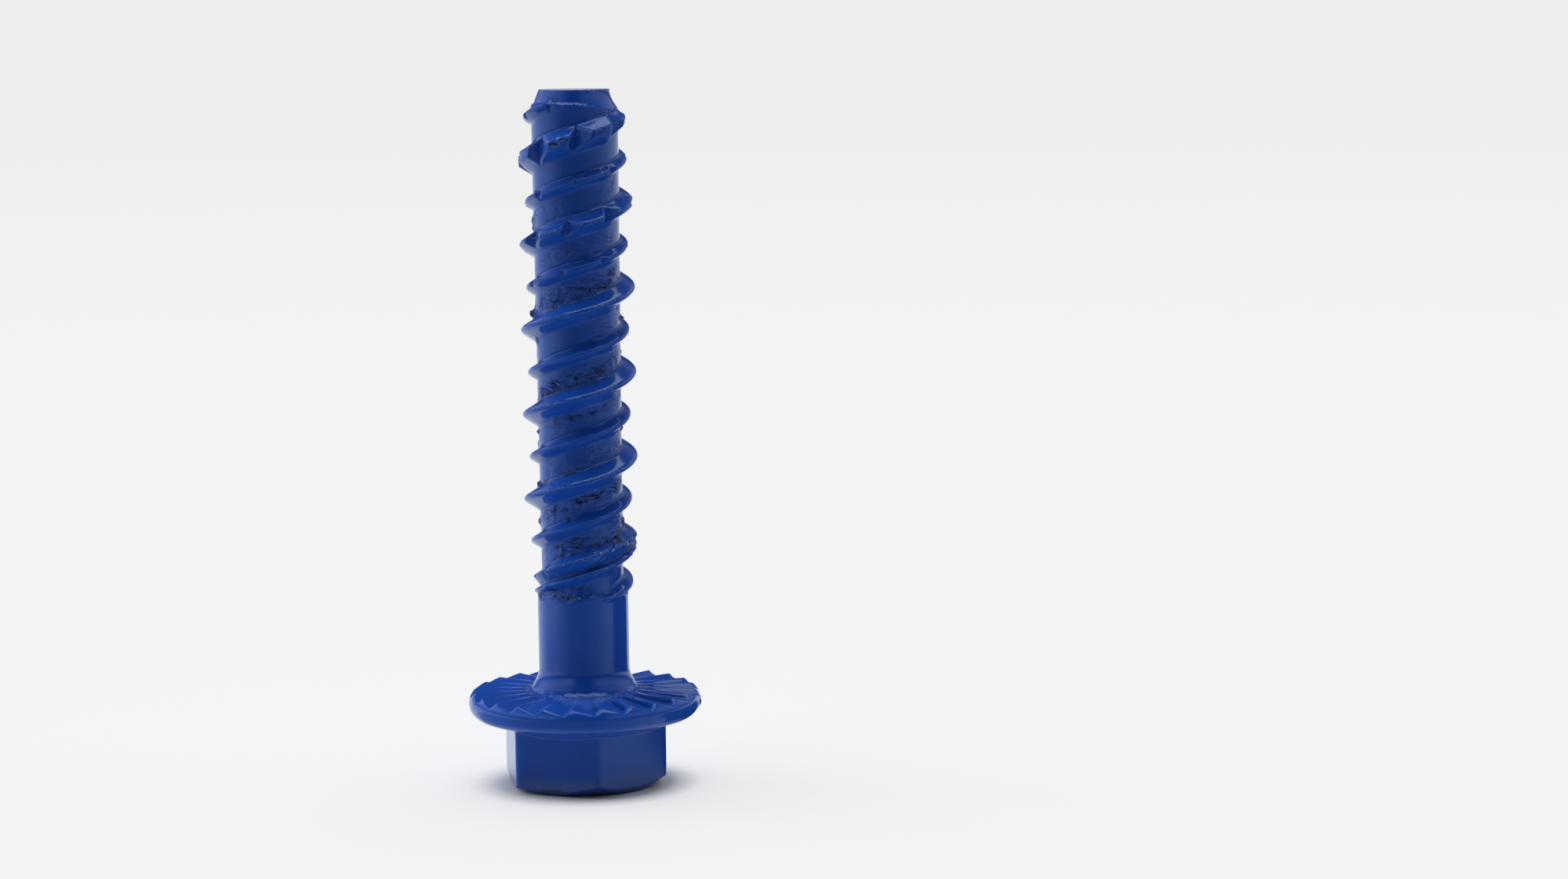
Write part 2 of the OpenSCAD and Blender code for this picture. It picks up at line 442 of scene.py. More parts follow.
# Single marks: turn, height, reach round and up in mm, depth (less than 0 stands out), darkness (less than 0
# is pale)
MARKS = [
    (-88.6, 55.28, 0.42, 0.1, 0.25, 0.4),
    (-78.9, 55.70, 0.4, 0.09, 0.22, 0.3),
    (-44.4, 56.5, 0.3, 0.12, 0.12, 0),
    (-101.9, 58.2, 0.12, 0.12, 0.08, 0.5),
    (-45.2, 59.7, 0.25, 0.12, 0.08, 0.3),
    (-151, 48.5, 0.25, 0.55, -0.18, 1),
    (-158, 40.75, 0.3, 0.42, -0.5, 1),
    (19, 40.25, 0.25, 0.2, -0.36, 1),
    (27, 37.3, 0.15, 0.14, -0.2, 1),
    (-165, 33.2, 0.15, 0.14, -0.16, 0.9),
    (-152, 30.7, 0.12, 0.1, -0.28, 1),
    (14, 30.9, 0.16, 0.2, -0.16, 1),
    (-162, 29.4, 0.2, 0.28, -0.14, 1),
    (-150, 26.1, 0.2, 0.2, -0.26, 1),
    (-159, 22.8, 0.2, 0.3, -0.26, 1),
    (17, 22.8, 0.25, 0.45, -0.2, 0.9),
    (-44.5, 21.2, 0.35, 0.09, 0.12, 0.9),
    (-31, 21.35, 0.22, 0.12, 0.16, 1),
    (-20, 21.3, 0.3, 0.08, 0.14, 0.9),
    (-6, 21.2, 0.3, 0.14, 0.1, 0.8),
    (-50, 20.7, 0.4, 0.1, -0.05, -1),
    (-33, 20.75, 0.4, 0.1, -0.05, -1),
    (-96, 21.65, 0.6, 0.07, 0.05, 0.7),
    (-66, 21.8, 0.9, 0.07, 0.06, 0.8),
    (-38, 21.8, 0.6, 0.06, 0.05, 0.7),
    (-111, 17.3, 0.7, 0.12, 0.08, 0.8),
    (-75, 17.5, 0.9, 0.12, 0.1, 0.7),
    (-84, 16.7, 0.25, 0.12, 0.06, 0.8),
    (-115, 19.3, 0.4, 0.15, 0.06, 0.7),
    # A painted highlight on the first turn
    (-42, 56.5, 0.4, 0.12, 0, -0.8),
    (-84.2, 23.4, 0.16, 0.18, 0.1, 0.9),
    (-72, 32.2, 0.2, 0.12, 0.06, 0.6),
    (-142, 38.5, 0.3, 0.3, -0.16, 0.5),
    (-45, 38.4, 0.22, 0.2, -0.18, 0.2),
    (-102.5, 31.9, 0.25, 0.2, -0.15, 0.5),
    (16, 7.1, 0.25, 0.5, -0.12, 1),
    (14, 6.4, 0.5, 0.2, 0.05, 0.8),
]

# Strength of the light wear in the grooves, and how ragged the single marks are
LIGHT_WEAR = 0.32
RAGGED = 1.6

# Height of a flake in a rough patch, how deep the patch lies, and the height of its fine lumps
FLAKE_HEIGHT, PATCH_DEPTH, FINE_LUMPS = 0.1, 0.08, 0.05


def roughen(blank, travel, offset, lead):
    """Breaks up the coating in rough patches and adds single marks."""
    groove = ramp(np.abs(np.mod(offset / (lead / 2) + 0.5, 1) - 0.5), 0.2, 0.32)
    threaded = ramp(travel, 330, 520) * (1 - ramp(travel, 2020, 2060)) * (np.abs(offset) < lead)
    grit = LIGHT_WEAR * groove * ramp(rough(blank.xyz, 2.2, 19), -0.5, 0.3) * threaded
    for place, over, reach, up, strength in PATCHES:
        near = np.exp(-((travel - place) / reach) ** 4 - ((offset - over) / up) ** 4)
        grit = np.maximum(grit, strength * near)
    grit *= np.clip(0.85 + 0.8 * rough(blank.xyz, 0.9, 11), 0, 1)
    flake = ramp(rough(blank.xyz, 0.75, 13), -0.08, 0.08)
    blank.r += grit * (FLAKE_HEIGHT * flake - PATCH_DEPTH + FINE_LUMPS * rough(blank.xyz, 0.35, 17))
    blank.marks["grit"] = grit
    ragged = RAGGED * rough(blank.xyz, 0.32, 23)
    for turn, height, reach, up, depth, dark in MARKS:
        aside = np.radians(turned_from(blank.turn, turn)) * blank.r
        near = np.exp(-(aside / reach) ** 2 - ((blank.z - height) / up) ** 2 - ragged)
        near = np.clip(near, 0, 1) * (blank.r > FLAT_END)
        blank.r -= depth * near
        name = "grime_and_shade" if dark > 0 else "dust_and_highlight"
        blank.marks[name] = np.maximum(blank.marks[name], abs(dark) * ramp(near, 0.15, 0.7))


# The cone's hollow: its direction, and four times its depth
HOLLOW_TURN, HOLLOW = 30, 0.6

# The burr round the cone's foot: how far it lies under that foot, how far it rises and falls round the tip,
# the direction of its highest point, and how far it stands out
BURR_DROP, BURR_RISE, BURR_TURN, BURR_PROUD = 0.1, 0.52, -105, 0.04


def core_shape(blank, thread, shank, top, coarse, fine):
    """Radius of the core and the tip's cone, with a wavy burr between them, and the hollow in the cone."""
    step = shank.step_height / MM
    cone_low = (top - thread.tip_height) / MM
    tip_r = thread.tip_width / 2 / MM
    cone_r = thread.cone_width / 2 / MM
    core_tip = thread.core_tip_width / 2 / MM
    core_shank = thread.core_shank_width / 2 / MM
    core = core_shank + (core_tip - core_shank) * np.clip((blank.z - step) / (cone_low - step), 0, 1)
    down = (top - blank.z * MM) / thread.tip_height
    hollow = HOLLOW * facing(blank.turn, HOLLOW_TURN) * np.clip(down * (1 - down), 0, 1)
    cone = tip_r + (cone_r - tip_r) * down - hollow
    burr = cone_low - BURR_DROP + BURR_RISE * np.cos(np.radians(blank.turn - BURR_TURN))
    burr += 0.1 * coarse + 0.06 * fine
    proud = core + BURR_PROUD * ramp(blank.z, burr - 0.4, burr)
    above = ramp(blank.z, burr - 0.05, burr + 0.05)
    return proud + (np.minimum(cone, core - 0.03) - proud) * above, hollow


# Lengths over which each thread rises and runs out, how far it goes past the step, and the powers of the rise
HIGH_RUN_IN, HIGH_RUN_OUT, HIGH_PAST = 105, 320, 20
LOW_RUN_IN, LOW_RUN_OUT, LOW_PAST = 50, 60, 40
START_POWER, FADE_POWER = 1.3, 0.35

# Half widths of the crests, the extra half width beside the tip, and the rounds at roots and low crest
HIGH_CREST, LOW_CREST, BLUNT_CREST = 0.17, 0.14, 0.24
ROOT_ROUND, LOW_CREST_ROUND = 0.2, 0.12

# The split run-out: how far its upper and lower lips part, how far the upper one comes back, where the valley
# between them lies, and its depth
UPPER_LIP, LOWER_LIP, LIP_BACK = 0.55, 0.6, 0.25
LIP_VALLEY, LIP_DIP = 0.27, 0.65

# Notches: turns of the long slope and the steep side, lean in degrees for each mm up, and shift of the first;
# the low thread's have a pitch and a depth of their own
HIGH_NOTCH_SLOPE, HIGH_NOTCH_STEEP, HIGH_NOTCH_LEAN, HIGH_NOTCH_SHIFT = 20, 4.5, 3.1, 10
LOW_NOTCH_SLOPE, LOW_NOTCH_STEEP, LOW_NOTCH_LEAN = 8, 3, 2
LOW_NOTCH_PITCH, LOW_NOTCH_DEPTH = 47, 0.4


def high_thread(blank, thread, top, full, base, coarse, fine):
    """Height of the high thread over the core, its dark marks and painted shade, its painted highlight, and
    where each point lies on it.

    The thread is blunt beside the tip, then narrow, and split in two lips where it runs out.
    """
    slope = math.tan(thread.flank_slope)
    pitch, last = math.degrees(thread.notch_pitch), math.degrees(thread.notch_end)
    travel, offset = along(blank, thread, top, math.degrees(thread.start_turn))
    fade = np.clip(np.minimum(travel / HIGH_RUN_IN, (full + HIGH_PAST - travel) / HIGH_RUN_OUT), 0, 1)
    fade = np.where(travel < HIGH_RUN_IN, fade ** START_POWER, fade ** FADE_POWER)
    split = ramp(travel, full - 260, full - 165)
    narrow = ramp(travel, 260, 420)
    wide = HIGH_CREST + BLUNT_CREST * ramp(travel, 60, 110) * (1 - narrow)
    upper = wide + UPPER_LIP * split - LIP_BACK * ramp(travel, full - 110, full - 40) + 0.06 * coarse * split
    lower = -wide - LOWER_LIP * split
    valley = lower + LIP_VALLEY * (upper - lower)
    height = (thread.high_width / 2 / MM - base) * fade + 0.05 * fine * split
    crest_round = 0.1 + 0.2 * narrow * (1 - split)
    section = thread_section(offset, lower, upper, valley, LIP_DIP * split, height, slope, crest_round,
                             ROOT_ROUND)
    place = travel + HIGH_NOTCH_LEAN * offset - HIGH_NOTCH_SHIFT
    notch = notch_cut(place, pitch, last, thread.notch_depth / MM, HIGH_NOTCH_SLOPE, HIGH_NOTCH_STEEP)
    high = np.minimum(section, np.maximum(height - notch, 0))

    # Cracks along the upper root, more of them on the torn stretch, and painted shade in the valley between
    # the lips
    torn = 0.25 * ramp(travel, 1150, 1190) * (1 - ramp(travel, 1290, 1330))
    dark = band(offset - upper - slope * height - 0.08 - 0.1 * fine, 0.1) * ramp(travel, 700, 900)
    dark *= 0.9 * ramp(coarse, 0.05 - torn, 0.35 - torn)
    valley_shade = 0.75 * band(offset - valley, 0.12) * split * (1 - ramp(travel, full - 110, full - 60))
    dark = np.maximum(dark, valley_shade * ramp(coarse, -0.3, 0.1))

    # Painted highlight along the crest's upper edge
    crest_highlight = 0.4 * band(offset - upper + 0.03, 0.1) * (section > 0.9 * height) * (height > 0.2)
    return high, dark, crest_highlight, travel, offset


def low_thread(blank, thread, top, full, base):
    """Height of the low thread over the core, with its small notches."""
    travel, offset = along(blank, thread, top, math.degrees(thread.start_turn) + 180)
    fade = np.clip(np.minimum(travel / LOW_RUN_IN, (full + LOW_PAST - travel) / LOW_RUN_OUT), 0, 1)
    height = (thread.low_width / 2 / MM - base) * fade ** FADE_POWER
    crest = LOW_CREST + 0 * offset
    slope = math.tan(thread.flank_slope)
    section = thread_section(offset, -crest, crest, 0, 0, height, slope, LOW_CREST_ROUND, ROOT_ROUND)
    notch = notch_cut(travel + LOW_NOTCH_LEAN * offset, LOW_NOTCH_PITCH, math.degrees(thread.notch_end),
                      LOW_NOTCH_DEPTH, LOW_NOTCH_SLOPE, LOW_NOTCH_STEEP)
    return np.minimum(section, np.maximum(height - notch, 0))


def roll_threads(blank, thread, shank, top):
    """Presses the threads, the notches and the run-out into the swept blank."""
    sheet_low, sheet_high = (JOIN_LOW + SHEET_LOW) / 2 / MM, (SHEET_HIGH + JOIN_HIGH) / 2 / MM
    on_sheet = (blank.z > sheet_low) & (blank.z < sheet_high)
    lead = thread.lead / MM
    step = shank.step_height / MM
    shank_r, core_r = shank.width / 2 / MM, thread.core_shank_width / 2 / MM
    full = ((top - thread.start_below) / MM - step) / lead * 360
    coarse, fine = rough(blank.xyz, 1.0, 3), rough(blank.xyz, 0.4, 5)
    base, hollow = core_shape(blank, thread, shank, top, coarse, fine)
    high, dark, crest_highlight, travel, offset = high_thread(blank, thread, top, full, base, coarse, fine)
    rolled = base + np.maximum(high, low_thread(blank, thread, top, full, base))

    # The wavy ledge where the shank steps down to the core
    wave = 0.2 * rough(blank.xyz, 1.6, 7) + 0.06 * coarse
    ledge = shank_r - (shank_r - core_r) * ramp(blank.z, step - 0.3 + wave, step + wave)
    rolled = smooth_max(rolled, np.where(blank.z < step + 0.4, ledge, 0), 0.05)
    blank.r = np.where(on_sheet, rolled, blank.r - hollow * (blank.r > FLAT_END))

    # Painted highlight on the tip's edge and in patches along the ledge
    tip_highlight = 0.6 * band(blank.z - top / MM + 0.03, 0.06) * (blank.r > FLAT_END)
    ledge_highlight = 0.7 * band(blank.z - step - wave + 0.1, 0.15) * (coarse > 0)
    blank.marks["dust_and_highlight"] = np.where(on_sheet, crest_highlight, tip_highlight) + ledge_highlight
    blank.marks["grime_and_shade"] = np.where(on_sheet, dark, 0)
    roughen(blank, travel, np.where(on_sheet, offset, 99), lead)


# How far a tooth's crest rises towards the shank, and the power by which its depth grows towards the rim
CREST_RISE, DEPTH_POWER = 0.1, 0.7

# Painted shade in the teeth: its strength all round, the extra on the more shaded side, and that side's
# direction
TOOTH_SHADE, SIDE_SHADE, SHADED_TURN = 0.15, 0.6, -35


def cut_teeth(blank, head, shank, flange_r):
    """Cuts the ratchet teeth into the bearing face and the top of the rim."""
    top = head.height / MM
    inner = (shank.width / 2 + 0.5 * shank.flare_width) / MM
    outer = flange_r / MM
    place = np.mod(blank.turn / 360 * head.tooth_count, 1)
    steep = head.tooth_steep
    fall = np.where(place < 1 - steep, place / (1 - steep), (1 - place) / steep)
    out = (blank.r - inner) / (outer - inner)
    depth = head.tooth_depth / MM * np.clip(out, 0, 1.2) ** DEPTH_POWER
    facet = top + CREST_RISE * (1 - out) - depth * fall
    on_face = (blank.z > top - 0.5 * head.rim_height / MM) & (blank.z < top + 0.6) & (blank.r > inner)
    blank.z = np.where(on_face, smooth_min(blank.z, facet, 0.05), blank.z)

    # Painted shade at the foot of the steep sides, darkest on one side of the flange
    foot = ramp(place, 0.78, 0.86) * (1 - ramp(place, 0.92, 0.98)) * on_face
    foot *= ramp(out, 0.05, 0.3) * (1 - ramp(out, 0.82, 0.94))
    blank.marks["grime_and_shade"] += foot * (TOOTH_SHADE + SIDE_SHADE * facing(blank.turn, SHADED_TURN) ** 3)

    # Painted highlight in grains, and roughness, in the corner where the flare meets the bearing face
    joint = (shank.width / 2 + shank.flare_width) / MM
    corner = band(blank.r - joint, 0.2) * (np.abs(blank.z - top) < 0.4)
    blank.marks["dust_and_highlight"] += 0.5 * corner
    blank.marks["grit"] += 0.3 * corner


# The corner of the hex with the smallest chamfer: its direction, the reach round it, and the missing share
SMALL_CHAMFER_TURN, SMALL_CHAMFER_REACH, CHAMFER_MISSING = -120, 25, 0.5

# Radius of the fillet between the hex and the flange's back, and how far it fills the corner
FILLET, FILLET_SHARE = 0.35, 0.25

# Slack in mm that tells which part of the head a point lies on
NEAR = 1e-4
NEAR_SIDE = 1e-3


def press_hex(blank, head, flange_r):
    """Presses the round lower part of the head into a hex with a chamfered end."""
    flat_r = head.across_flats / 2 / MM
    corner_r = flat_r / math.cos(math.radians(30))
    end_r = flat_r - head.chamfer_width / MM
    edge_r = rim_edge(head, flange_r) / MM
    rim_low = (head.height - head.rim_height) / MM
    back, chamfer = math.tan(head.back_slope), math.tan(head.chamfer_slope)
    back_low = rim_low - (edge_r - corner_r) * back
    corner_z = (corner_r - end_r) * chamfer
    from_corner = np.mod(blank.turn + 30, 60) - 30
    one = flat_r / np.cos(np.radians(30 - from_corner))
    other = flat_r / np.cos(np.radians(30 + from_corner))
    hex_r = smooth_min(one, other, head.corner_round / MM)
    hex_low = rim_low - (edge_r - hex_r) * back
    missing = CHAMFER_MISSING * band(turned_from(blank.turn, SMALL_CHAMFER_TURN), SMALL_CHAMFER_REACH)
    chamfer_z = (hex_r - end_r) * chamfer * (1 - missing)

    # Which points lie on the flange's back, the hex's sides and its end
    r, z = blank.r.copy(), blank.z.copy()
    side = (z <= back_low + NEAR) & (z > corner_z + NEAR) & (np.abs(r - corner_r) < NEAR_SIDE)
    under = (z < rim_low + NEAR) & (z > back_low - NEAR) & (r > corner_r - NEAR) & ~side
    end = (z <= corner_z + NEAR) & (r > end_r - NEAR)

    # Back and sides, with a fillet between them
    t = (edge_r - r) / (edge_r - corner_r)
    blank.r = np.where(under, edge_r - (edge_r - hex_r) * t, blank.r)
    blank.z = np.where(under, rim_low - (rim_low - hex_low) * t, blank.z)
    t = (z - corner_z) / (back_low - corner_z)
    blank.r = np.where(side, hex_r, blank.r)
    blank.z = np.where(side, chamfer_z + (hex_low - chamfer_z) * t, blank.z)
    from_joint = np.where(side, hex_low - blank.z, FILLET)
    from_joint = np.where(under, np.hypot(blank.r - hex_r, blank.z - hex_low), from_joint)
    lift = FILLET_SHARE * FILLET * np.clip(1 - from_joint / FILLET, 0, 1) ** 2
    blank.r += 0.6 * lift
    blank.z -= 0.8 * lift

    # Painted shade low on the hex, darker towards the floor, then the chamfered end
    darkening = 0.35 * (1 - ramp(blank.z, 0.3, 2.5)) + 0.5 * (blank.z < 0.45)
    blank.marks["grime_and_shade"] += np.where(side | end, darkening, 0)
    t = (r - end_r) / (corner_r - end_r)
    blank.r = np.where(end, end_r + (hex_r - end_r) * t, blank.r)
    blank.z = np.where(end, chamfer_z * t, blank.z)


# Tools for materials

def linear(code):
    """An sRGB hex value as linear red, green, blue and alpha."""
    parts = [int(code[i:i + 2], 16) / 255 for i in (1, 3, 5)]
    return [c / 12.92 if c <= 0.04045 else ((c + 0.055) / 1.055) ** 2.4 for c in parts] + [1]


def add_node(tree, kind, settings=None, sockets=None):
    """Adds a node with its own settings; sockets give each input a value or another node's output."""
    made = tree.nodes.new(kind)
    for key, value in (settings or {}).items():
        setattr(made, key, value)
    for key, value in (sockets or {}).items():
        if isinstance(value, bpy.types.NodeSocket):
            tree.links.new(value, made.inputs[key])
        else:
            made.inputs[key].default_value = value
    return made


def calculate(tree, operation, a, b):
    """The result of a maths node."""
    return add_node(tree, "ShaderNodeMath", {"operation": operation}, {0: a, 1: b}).outputs[0]


def spread(tree, value, low, high, start=0, end=1):
    """A value's range from low to high mapped to a range from start to end, and held at both ends."""
    limits = {"From Min": low, "From Max": high, "To Min": start, "To Max": end}
    return add_node(tree, "ShaderNodeMapRange", None, {"Value": value, **limits}).outputs["Result"]


def blend(tree, factor, first, second):
    """A mix of two colours."""
    sockets = {"Factor": factor, 6: first, 7: second}
    return add_node(tree, "ShaderNodeMix", {"data_type": "RGBA"}, sockets).outputs[2]


def mottle(tree, place, per_mm, detail):
    """Noise with a number of lumps for each millimetre."""
    sockets = {"Vector": place, "Scale": per_mm / MM, "Detail": detail}
    return add_node(tree, "ShaderNodeTexNoise", None, sockets).outputs["Fac"]


def vector_value(tree, operation, sockets):
    """The number that a vector node works out."""
    return add_node(tree, "ShaderNodeVectorMath", {"operation": operation}, sockets).outputs["Value"]


def mix_shaders(tree, factor, first, second):
    """A mix of two shader nodes."""
    return add_node(tree, "ShaderNodeMixShader", None, {0: factor, 1: first.outputs[0], 2: second.outputs[0]})


def seen_rays(tree):
    """1 for rays that show a surface by sight or by reflection, 0 for rays that only carry light."""
    path = add_node(tree, "ShaderNodeLightPath").outputs
    seen = calculate(tree, "MAXIMUM", path["Is Camera Ray"], path["Is Glossy Ray"])
    return calculate(tree, "MAXIMUM", seen, path["Is Transmission Ray"])


def new_material(name):
    """A new material, its empty tree, and the place on the object that its patterns follow."""
    made = bpy.data.materials.new(name)
    made.use_nodes = True
    made.node_tree.nodes.clear()
    place = add_node(made.node_tree, "ShaderNodeTexCoord").outputs["Object"]
    return made, made.node_tree, place


# Materials

def blue_coating(look):
    """Thick, glossy blue baked coating: cracked and dirty in patches, with pinholes, pale dust, painted shade
    in some hollows and painted highlights on some edges.
    """
    made, tree, place = new_material("Baked blue coating")
    grit, grime_and_shade, dust_and_highlight = (add_node(tree, "ShaderNodeAttribute", {"attribute_name": name}).outputs["Fac"]
                         for name in MARKS_ON_COAT)

    # Clouds: the coating is a little thinner and lighter in places
    thin = spread(tree, mottle(tree, place, 0.35, 3), 0.3, 0.7, 0, 0.4)
    body = blend(tree, thin, linear(look.blue), linear(look.thin))

    # Torn flakes in the rough patches, with broken black cracks along their edges
    flat = add_node(tree, "ShaderNodeVectorMath", {"operation": "MULTIPLY"}, {0: place, 1: (0.55, 0.55, 1.6)})
    flake = add_node(tree, "ShaderNodeTexNoise", None,
                     {"Vector": flat.outputs[0], "Scale": 0.9 / MM, "Detail": 3, "Roughness": 0.6,
                      "Distortion": 1}).outputs["Fac"]
    away = calculate(tree, "ABSOLUTE", calculate(tree, "SUBTRACT", flake, 0.5), 0)
    crack = calculate(tree, "MULTIPLY", spread(tree, away, 0.012, 0.045, 1, 0), spread(tree, grit, 0.1, 0.7))
    gaps = spread(tree, mottle(tree, place, 1.5, 1), 0.42, 0.54)
    crack = calculate(tree, "MULTIPLY", crack, gaps)
    raised = spread(tree, flake, 0.46, 0.54)

    # Pinholes: sparse dark dots all over
    cell = add_node(tree, "ShaderNodeTexVoronoi", None, {"Vector": place, "Scale": 0.75 / MM}).outputs
    chosen = calculate(tree, "GREATER_THAN", cell["Color"], 0.6)
    dot = calculate(tree, "MULTIPLY", spread(tree, cell["Distance"], 0.03, 0.06, 1, 0), chosen)
    # Cracks, pinholes and the dark marks, which include painted shade, darken the blue
    darkening = calculate(tree, "MAXIMUM", calculate(tree, "MAXIMUM", crack, grime_and_shade), dot)
    darkened = blend(tree, darkening, body, linear(look.grime_and_shade))

    # Pale dust and painted highlights, in grains, where the pale marks lie
    grain = spread(tree, mottle(tree, place, 5, 2), 0.52, 0.66, 0, 0.6)
    dusted_and_highlit = blend(tree, calculate(tree, "MULTIPLY", grain, dust_and_highlight), darkened, linear(look.dust_and_highlight))

    # Fine orange peel all over, and a broken surface in the rough patches
    peel = add_node(tree, "ShaderNodeBump", None,
                    {"Strength": 0.1, "Distance": 0.05 * MM, "Height": mottle(tree, place, 1.2, 2)})
    broken = add_node(tree, "ShaderNodeBump", None,
                      {"Strength": grit, "Distance": 0.24 * MM, "Height": raised,
                       "Normal": peel.outputs["Normal"]})
    worn = calculate(tree, "MAXIMUM", crack, grit)
    gloss = spread(tree, worn, 0, 1, look.gloss, look.worn_gloss)
    shader = add_node(tree, "ShaderNodeBsdfPrincipled", None,
                      {"Base Color": dusted_and_highlit, "Roughness": gloss, "IOR": 1.5,
                       "Specular Tint": linear(look.sheen), "Normal": broken.outputs["Normal"]})
    add_node(tree, "ShaderNodeOutputMaterial", None, {"Surface": shader.outputs[0]})
    return made


# Distances in metres at which the shadow starts to thin, has lost a share of itself, and ends, and between
# which the white floor fades to the backdrop
SHADOW_START, SHADOW_THIN, SHADOW_END = 7.3 * MM, 10.2 * MM, 70 * MM
THIN_SHARE = 0.68
FADE_START, FADE_END = 0.15, 1.4


def paper_white(look):
    """A sheet of matt white paper, overexposed: it takes a light shadow and fades to the backdrop far off."""
    made, tree, place = new_material("Matt white paper")
    away = vector_value(tree, "LENGTH", {0: place})
    thin = spread(tree, away, SHADOW_START, SHADOW_THIN, 0, THIN_SHARE)
    far = spread(tree, away, SHADOW_THIN, SHADOW_END, 0, 1 - THIN_SHARE)
    even_share = calculate(tree, "MULTIPLY", calculate(tree, "ADD", thin, far), seen_rays(tree))
    bare = spread(tree, away, 110 * MM, 140 * MM)
    near = add_node(tree, "ShaderNodeBsdfPrincipled", None,
                    {"Base Color": blend(tree, bare, linear(look.paper), linear(look.table)),
                     "Roughness": 0.9, "IOR": 1.3})
    distant = spread(tree, away, FADE_START, FADE_END)
    even_white = blend(tree, distant, linear(look.floor), linear(look.backdrop))
    even = add_node(tree, "ShaderNodeEmission", None, {"Color": even_white, "Strength": 1})
    both = mix_shaders(tree, even_share, near, even)
    add_node(tree, "ShaderNodeOutputMaterial", None, {"Surface": both.outputs[0]})
    return made


# Greys of the card that reflections show. Each ring starts between two distances in mm, and its greys go by
# direction in degrees from the camera's, positive to the right. The greys have a little less red.
CARD_RED = 0.93
CARD_RINGS = [
    ((8, 14), [(-180, 1), (-122, 1), (-105, 0.35), (-75, 0.35), (-34, 0.2), (0, 0.15), (30, 0.3), (63, 0.6),
               (68, 0.6), (74, 0.01), (137, 0.01), (143, 1)]),
    ((45, 90), [(-180, 1), (-75, 1), (-34, 0.2), (0, 0.15), (30, 0.3), (63, 0.7), (77, 0.8), (82, 0.01),
                (137, 0.01), (143, 1)]),
    ((150, 240), [(-180, 1), (-75, 1), (-34, 0.2), (0, 0.15), (30, 0.25), (63, 0.5), (85, 0.7), (108, 1)]),
]


def graded_card():
    """Card that only shows in reflections: dark before the screw and on its right, pale on its left."""
    made, tree, place = new_material("Graded grey card")
    turn = add_node(tree, "ShaderNodeTexGradient", {"gradient_type": "RADIAL"}, {"Vector": place})
    away = vector_value(tree, "LENGTH", {0: place})
    shade = there = None
    for (start, end), greys in CARD_RINGS:
        grey = add_node(tree, "ShaderNodeValToRGB", None, {"Fac": turn.outputs["Fac"]})
        stops = grey.color_ramp.elements
        for degrees, light in greys:
            stops.new(0.5 + degrees / 360).color = (CARD_RED * light, light, light, 1)
        stops.remove(stops[0])
        stops[-1].color = stops[0].color
        ring = spread(tree, away, start * MM, end * MM)
        if there is None:
            shade, there = grey.outputs["Color"], ring
        else:
            shade = blend(tree, ring, shade, grey.outputs["Color"])
    gap = add_node(tree, "ShaderNodeBsdfTransparent")
    shown = add_node(tree, "ShaderNodeEmission", None, {"Color": shade, "Strength": 1})
    both = mix_shaders(tree, there, gap, shown)
    add_node(tree, "ShaderNodeOutputMaterial", None, {"Surface": both.outputs[0]})
    return made


# White panels on the left and the right that reflections show: side and brightness
PANELS = ((-1, 1), (1, 0.7))


def studio_world(look):
    """A dark room with a low backdrop and a white panel on each side, white where the camera sees it."""
    world = bpy.data.worlds.new("Studio")
    world.use_nodes = True
    tree = world.node_tree
    tree.nodes.clear()
    aim = add_node(tree, "ShaderNodeTexCoord").outputs["Generated"]
    up = add_node(tree, "ShaderNodeSeparateXYZ", None, {"Vector": aim}).outputs["Z"]
    front = Vector((look.camera[0], look.camera[1], 0)).normalized()
    right = Vector((-front.y, front.x, 0))
    ahead = vector_value(tree, "DOT_PRODUCT", {0: aim, 1: front})
    aside = vector_value(tree, "DOT_PRODUCT", {0: aim, 1: right})

    # What reflections show: the low backdrop behind the screw, and the panels
    wall = spread(tree, up, 0.02, 0.12, 1, 0.04)
    wall = calculate(tree, "MULTIPLY", wall, spread(tree, ahead, -0.2, 0.4, 1, 0.1))
    left_panel, right_panel = (spread(tree, aside, side * 0.25, side * 0.55, 0, light)
                               for side, light in PANELS)
    panel = calculate(tree, "MAXIMUM", left_panel, right_panel)
    for low, high in ((0.12, 0.3), (0.8, 0.5)):
        panel = calculate(tree, "MULTIPLY", panel, spread(tree, up, low, high))
    wall = calculate(tree, "MAXIMUM", wall, panel)

    # Light for the screw and the floor, and white for the camera
    fill = spread(tree, ahead, -0.2, 0.5, look.fill_level, look.front_level)
    glossy = add_node(tree, "ShaderNodeLightPath").outputs["Is Glossy Ray"]
    level = add_node(tree, "ShaderNodeMix", None, {"Factor": glossy, "A": 1, "B": wall}).outputs["Result"]
    light = add_node(tree, "ShaderNodeBackground", None, {"Color": (1, 1, 1, 1), "Strength": fill})
    white = add_node(tree, "ShaderNodeBackground", None, {"Color": linear(look.backdrop), "Strength": level})
    both = mix_shaders(tree, seen_rays(tree), light, white)
    add_node(tree, "ShaderNodeOutputWorld", None, {"Surface": both.outputs[0]})
    return world


# The studio, in metres, laid out by directions seen from the screw: 0 is the camera's, right is positive

FLOOR_SIZE = 8
CARD_HEIGHT = 0.2 * MM
LAMP_AIM = 0.03


def camera_turn(look):
    """Direction of the camera from the screw, in radians from +X."""
    return math.atan2(look.camera[1], look.camera[0])


def softbox(look, name, turn, distance, height, size, level):
    """A square lamp whose face has the brightness level, aimed at the screw."""
    t = camera_turn(look) + math.radians(turn)
    place = Vector((distance * math.cos(t), distance * math.sin(t), height))
    bpy.ops.object.light_add(type="AREA", location=place)
    lamp = bpy.context.object
    lamp.name = name
    lamp.data.size = size
    lamp.data.energy = level * math.pi * size ** 2
    aim = Vector((0, 0, LAMP_AIM)) - lamp.location
    lamp.rotation_euler = aim.to_track_quat("-Z", "Y").to_euler()
    return lamp


